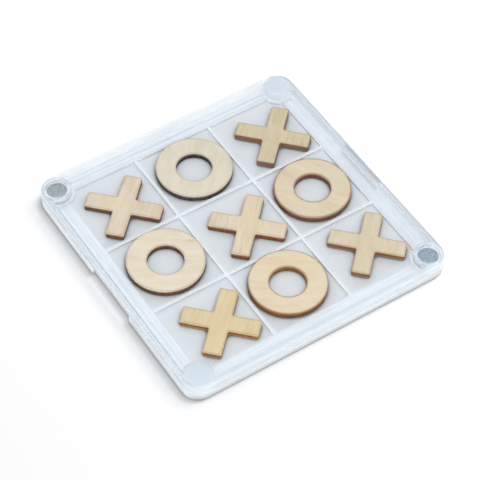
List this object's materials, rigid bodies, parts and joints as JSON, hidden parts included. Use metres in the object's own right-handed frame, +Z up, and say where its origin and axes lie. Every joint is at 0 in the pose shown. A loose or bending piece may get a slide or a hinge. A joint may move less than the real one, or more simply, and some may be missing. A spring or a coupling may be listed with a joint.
{
  "type": "tic tac toe set",
  "caption": "Clear square two-part travel case with a three by three grid of pockets, corner magnets and wooden cross and ring playing pieces.",
  "frame": {"origin": "centre of the case's underside, on the table", "axes": "+Z up out of the pockets, X and Y along the case's sides, the thumb notches are on the -X and +X sides, the magnets are in the (-X, +Y) and (+X, -Y) corners"},
  "size_m": [0.09, 0.09, 0.0063],
  "materials": {
    "clear_plastic": "clear gloss",
    "card": "matte white",
    "magnet": "satin nickel",
    "plywood": "raw birch plywood with scorched laser-cut edges"
  },
  "bodies": {
    "base": {"base_shell": "clear_plastic", "base_magnet_1": "magnet", "base_magnet_2": "magnet"},
    "card": {"backing_card": "card"},
    "tray": {"grid_tray": "clear_plastic", "tray_magnet_1": "magnet", "tray_magnet_2": "magnet"},
    "cross_1": {"cross_1": "plywood"},
    "cross_2": {"cross_2": "plywood"},
    "cross_3": {"cross_3": "plywood"},
    "cross_4": {"cross_4": "plywood"},
    "cross_5": {"cross_5": "plywood"},
    "nought_1": {"nought_1": "plywood"},
    "nought_2": {"nought_2": "plywood"},
    "nought_3": {"nought_3": "plywood"},
    "nought_4": {"nought_4": "plywood"}
  },
  "joints": [
    {"name": "tray_lift", "type": "slide", "parent": "base", "child": "tray", "axis": [0, 0, 1], "range_m": [0, 0.015]},
    {"name": "card_lift", "type": "slide", "parent": "base", "child": "card", "axis": [0, 0, 1], "range_m": [0, 0.006]},
    {"name": "cross_1_lift", "type": "slide", "parent": "tray", "child": "cross_1", "axis": [0, 0, 1], "range_m": [0, 0.02]},
    {"name": "cross_2_lift", "type": "slide", "parent": "tray", "child": "cross_2", "axis": [0, 0, 1], "range_m": [0, 0.02]},
    {"name": "cross_3_lift", "type": "slide", "parent": "tray", "child": "cross_3", "axis": [0, 0, 1], "range_m": [0, 0.02]},
    {"name": "cross_4_lift", "type": "slide", "parent": "tray", "child": "cross_4", "axis": [0, 0, 1], "range_m": [0, 0.02]},
    {"name": "cross_5_lift", "type": "slide", "parent": "tray", "child": "cross_5", "axis": [0, 0, 1], "range_m": [0, 0.02]},
    {"name": "nought_1_lift", "type": "slide", "parent": "tray", "child": "nought_1", "axis": [0, 0, 1], "range_m": [0, 0.02]},
    {"name": "nought_2_lift", "type": "slide", "parent": "tray", "child": "nought_2", "axis": [0, 0, 1], "range_m": [0, 0.02]},
    {"name": "nought_3_lift", "type": "slide", "parent": "tray", "child": "nought_3", "axis": [0, 0, 1], "range_m": [0, 0.02]},
    {"name": "nought_4_lift", "type": "slide", "parent": "tray", "child": "nought_4", "axis": [0, 0, 1], "range_m": [0, 0.02]}
  ],
  "couplings": [
    {"joint": "card_lift", "follows": "tray_lift", "ratio": 0.4}
  ]
}
